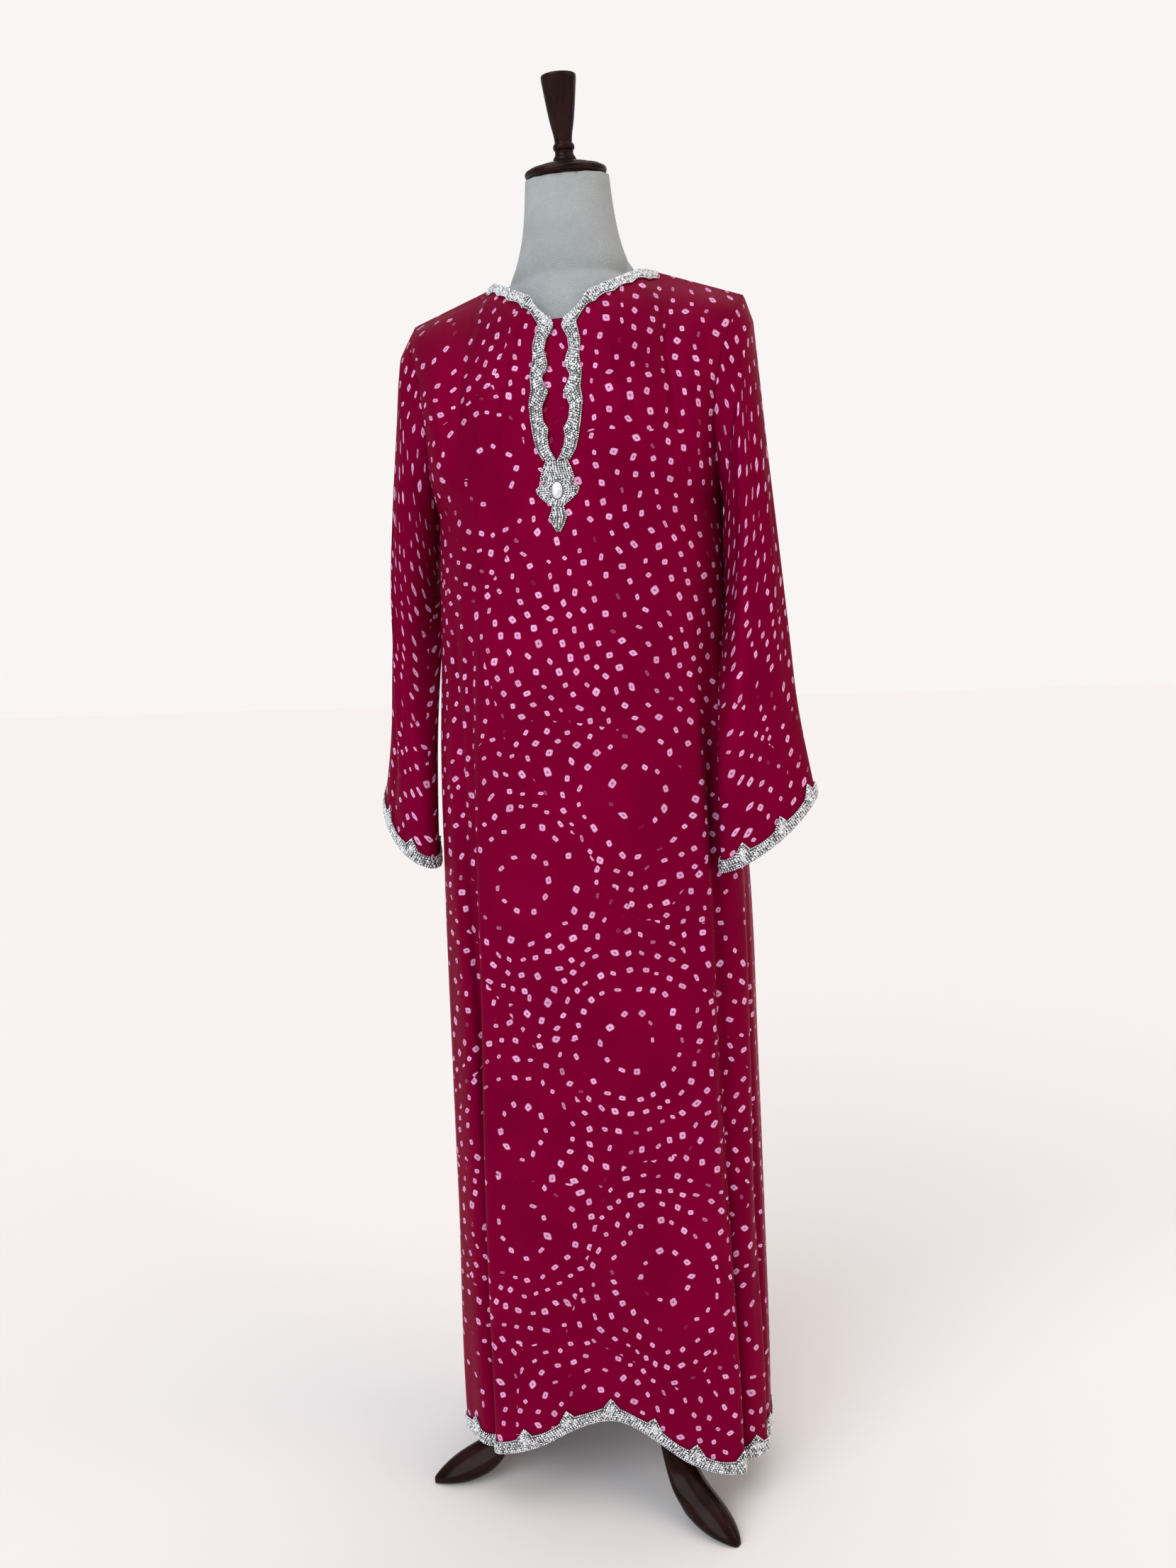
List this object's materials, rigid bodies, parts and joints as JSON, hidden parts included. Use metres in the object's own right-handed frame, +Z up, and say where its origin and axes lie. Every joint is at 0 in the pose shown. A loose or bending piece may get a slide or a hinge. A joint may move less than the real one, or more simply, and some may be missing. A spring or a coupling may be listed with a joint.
{
  "type": "kaftan on a dress form",
  "caption": "Full-length dotted crimson silk kaftan with slanting long sleeves, keyhole neck and silver beaded trims, hanging over a limbless dress form on a wooden tripod.",
  "frame": {"origin": "middle of the footprint of the whole model, on the floor under it", "axes": "+Z up; the wearer's front faces -Y and the wearer's left is +X"},
  "size_m": [0.5498, 0.3678, 1.7036],
  "materials": {
    "silk": "soft crimson silk crepe with small pale woven dots",
    "silver": "close-set silver beads and sequins",
    "stone": "clear faceted stone",
    "linen": "matt grey-beige linen cover",
    "wood": "dark polished wood"
  },
  "bodies": {
    "root": {"front": "silk", "back": "silk", "sleeve_left": "silk", "sleeve_right": "silk", "keyhole_underlay": "silk", "trim_neck_front_left": "silver", "trim_neck_front_right": "silver", "trim_neck_back": "silver", "trim_hem_front": "silver", "trim_hem_back": "silver", "trim_cuff_left": "silver", "trim_cuff_right": "silver", "trim_pendant": "silver", "pendant_stone": "stone", "form_bust": "linen", "neck_cap": "wood", "finial": "wood", "pole": "wood", "hub": "wood", "leg_1": "wood", "leg_2": "wood", "leg_3": "wood"}
  },
  "joints": []
}
